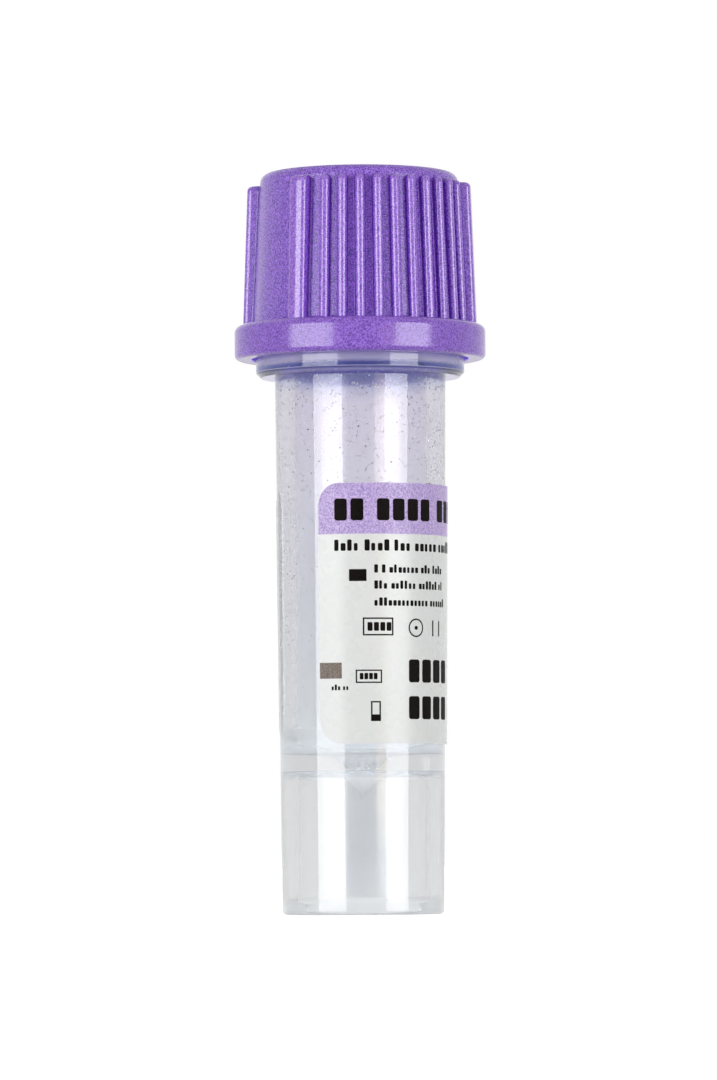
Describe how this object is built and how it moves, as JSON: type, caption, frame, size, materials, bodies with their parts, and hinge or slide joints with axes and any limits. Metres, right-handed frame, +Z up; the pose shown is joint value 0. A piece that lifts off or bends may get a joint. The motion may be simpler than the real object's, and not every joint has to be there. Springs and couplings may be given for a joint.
{
  "type": "blood collection tube",
  "caption": "Small clear blood collection tube standing on an open skirt, with a raised bottom and its pointed well, a wrapped label and a push-on ribbed cap.",
  "frame": {"origin": "centre of the foot's face, on the surface that the tube stands on", "axes": "+Z up along the tube's axis towards the cap; -Y faces the front, where the label begins; +X is to the right seen from the front"},
  "size_m": [0.0152, 0.0152, 0.045],
  "materials": {
    "clear_plastic": "clear, slightly milky, polished",
    "purple_plastic": "satin, fine moulded texture",
    "label_film": "glossy white film"
  },
  "bodies": {
    "tube": {"tube": "clear_plastic", "label": "label_film"},
    "cap": {"cap": "purple_plastic"}
  },
  "joints": [
    {"name": "cap_pull", "type": "slide", "parent": "tube", "child": "cap", "axis": [0, 0, 1], "range_m": [0, 0.02]}
  ]
}
